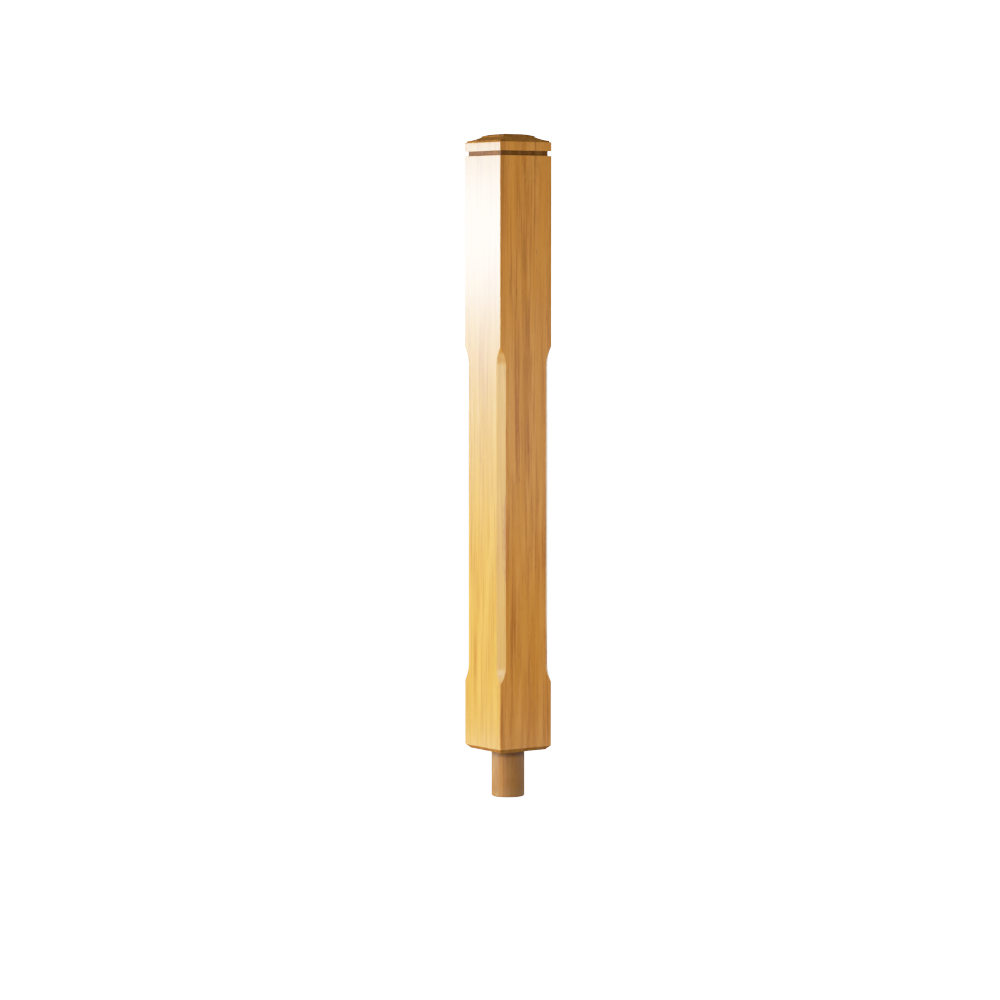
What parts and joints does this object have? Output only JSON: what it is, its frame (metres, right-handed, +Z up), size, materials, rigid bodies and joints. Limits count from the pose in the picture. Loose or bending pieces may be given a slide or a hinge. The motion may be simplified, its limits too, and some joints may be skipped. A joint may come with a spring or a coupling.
{
  "type": "newel post",
  "caption": "Square oak newel post with stop-chamfered arrises, a grooved flush band under a low moulded crown, and a round spigot below its shoulder.",
  "frame": {"origin": "on the post's axis, in the plane of the flat shoulder that seats on the newel base, at the root of the spigot", "axes": "+Z up along the post, X and Y square to its flat faces"},
  "size_m": [0.091, 0.091, 0.965],
  "materials": {
    "lacquered_oak": "satin clear lacquer on golden oak, the spigot left bare"
  },
  "bodies": {
    "root": {"newel_post": "lacquered_oak"}
  },
  "joints": []
}
